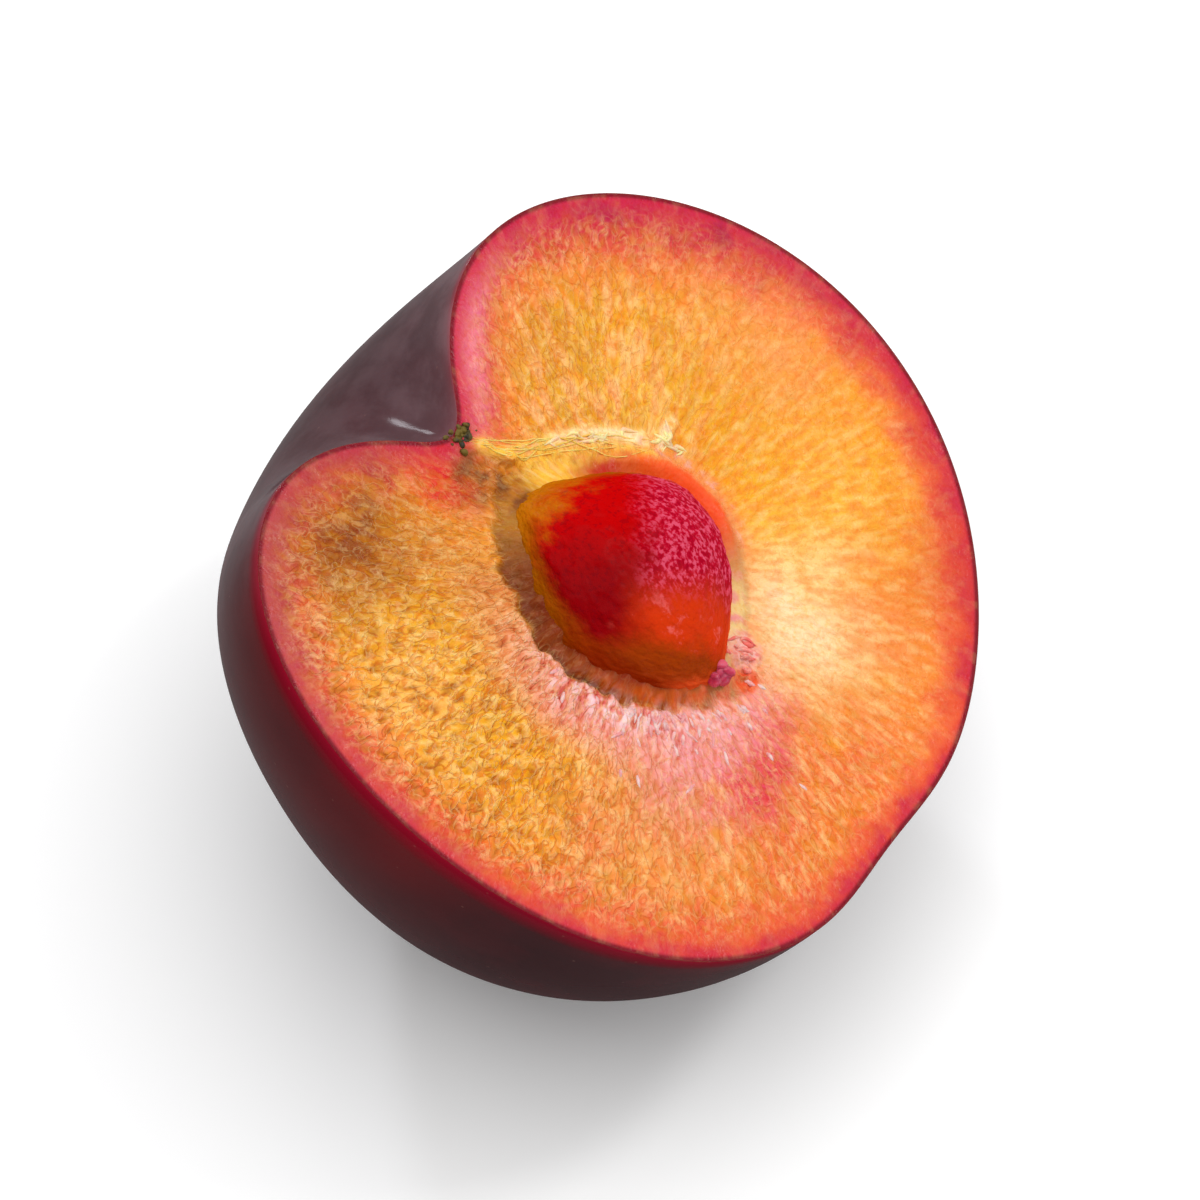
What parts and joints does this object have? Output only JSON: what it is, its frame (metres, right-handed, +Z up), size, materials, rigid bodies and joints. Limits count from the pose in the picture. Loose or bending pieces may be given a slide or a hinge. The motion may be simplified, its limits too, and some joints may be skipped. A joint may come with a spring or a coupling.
{
  "type": "plum half",
  "caption": "Half of a dark plum cut along its stem axis, resting on its rounded back with the stone still seated in the cut face.",
  "frame": {"origin": "centre of the small flat spot that the half rests on", "axes": "+Z up as it rests; the cut face looks up and leans 29 degrees toward +X, with the stem end toward -X and +Y"},
  "size_m": [0.0541, 0.0595, 0.0441],
  "materials": {
    "plum_half": "glossy dark skin with a thin waxy bloom, and moist yellow, orange and red flesh on the cut face",
    "stone": "moist pitted crimson stone with clinging flesh"
  },
  "bodies": {
    "root": {"plum_half": "plum_half", "stone": "stone"}
  },
  "joints": []
}
